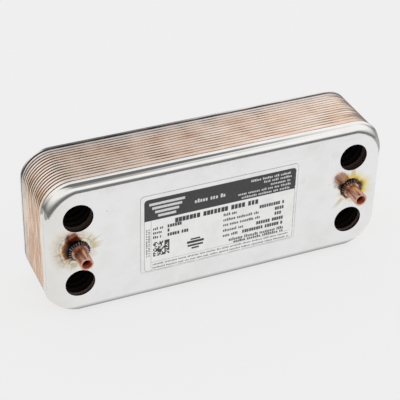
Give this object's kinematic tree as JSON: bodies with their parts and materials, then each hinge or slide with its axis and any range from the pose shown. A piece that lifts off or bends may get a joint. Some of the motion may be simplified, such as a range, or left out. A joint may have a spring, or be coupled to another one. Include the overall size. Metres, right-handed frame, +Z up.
{
  "type": "plate heat exchanger",
  "caption": "Brazed plate heat exchanger: nested pressed plates behind a flat stainless face with water ports, threaded mounting studs and a rating label.",
  "frame": {"origin": "on the front cover's flat face, midway between the two studs", "axes": "+X along the length, +Y into the stack away from the ported face, +Z up across the width; the block lies on its long narrow side"},
  "size_m": [0.1896, 0.0517, 0.078],
  "materials": {
    "stainless_cover": "satin rolled stainless",
    "rear_cover_steel": "satin stainless with a faint copper wash",
    "copper_washed_steel": "stainless wetted by copper braze",
    "copper_braze": "solidified copper",
    "copper_plated_stud": "copper plated",
    "weld_metal": "oxidised weld",
    "label_film": "silver polyester film"
  },
  "bodies": {
    "root": {"front_cover_plate": "stainless_cover", "channel_plate_01": "copper_washed_steel", "channel_plate_02": "copper_washed_steel", "channel_plate_03": "copper_washed_steel", "channel_plate_04": "copper_washed_steel", "channel_plate_05": "copper_washed_steel", "channel_plate_06": "copper_washed_steel", "channel_plate_07": "copper_washed_steel", "channel_plate_08": "copper_washed_steel", "channel_plate_09": "copper_washed_steel", "channel_plate_10": "copper_washed_steel", "channel_plate_11": "copper_washed_steel", "channel_plate_12": "copper_washed_steel", "channel_plate_13": "copper_washed_steel", "channel_plate_14": "copper_washed_steel", "rear_cover_plate": "rear_cover_steel", "braze_seam_01": "copper_braze", "braze_seam_02": "copper_braze", "braze_seam_03": "copper_braze", "braze_seam_04": "copper_braze", "braze_seam_05": "copper_braze", "braze_seam_06": "copper_braze", "braze_seam_07": "copper_braze", "braze_seam_08": "copper_braze", "braze_seam_09": "copper_braze", "braze_seam_10": "copper_braze", "braze_seam_11": "copper_braze", "braze_seam_12": "copper_braze", "braze_seam_13": "copper_braze", "braze_seam_14": "copper_braze", "braze_seam_15": "copper_braze", "stud_left": "copper_plated_stud", "weld_collar_left": "weld_metal", "stud_right": "copper_plated_stud", "weld_collar_right": "weld_metal", "rating_label": "label_film"}
  },
  "joints": []
}
